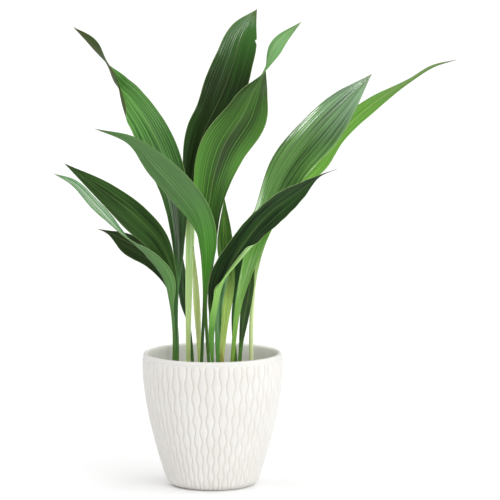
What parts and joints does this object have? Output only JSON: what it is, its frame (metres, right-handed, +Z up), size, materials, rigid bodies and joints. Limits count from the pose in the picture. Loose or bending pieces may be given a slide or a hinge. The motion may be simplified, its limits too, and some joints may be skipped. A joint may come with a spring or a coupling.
{
  "type": "potted cast iron plant",
  "caption": "Cast iron plant with long arching lance-shaped leaves on upright stalks, growing in a white pot with a waved relief.",
  "frame": {"origin": "centre of the pot's flat base, on the surface that the pot stands on", "axes": "+Z up, +X to the right of a viewer who stands at -Y and looks along +Y"},
  "size_m": [0.5476, 0.3031, 0.6464],
  "materials": {
    "pot_glaze": "satin",
    "potting_soil": "matte",
    "leaf_green": "satin",
    "leaf_lime": "satin",
    "leaf_sheath": "matte"
  },
  "bodies": {
    "root": {"pot": "pot_glaze", "soil": "potting_soil", "leaf_upper_left": "leaf_green", "leaf_back_tall": "leaf_green", "leaf_front_arching": "leaf_green", "leaf_centre_tall": "leaf_green", "leaf_small_rear": "leaf_green", "leaf_right_glossy": "leaf_green", "leaf_right_backlit": "leaf_lime", "leaf_front_right": "leaf_green", "leaf_left_dark": "leaf_green", "leaf_left_twisted": "leaf_green", "leaf_left_low": "leaf_green", "leaf_small_left": "leaf_green", "leaf_small_front": "leaf_green", "leaf_rear_right": "leaf_green", "leaf_small_right": "leaf_green", "sheath_tall": "leaf_sheath", "sheath_short": "leaf_sheath"}
  },
  "joints": []
}
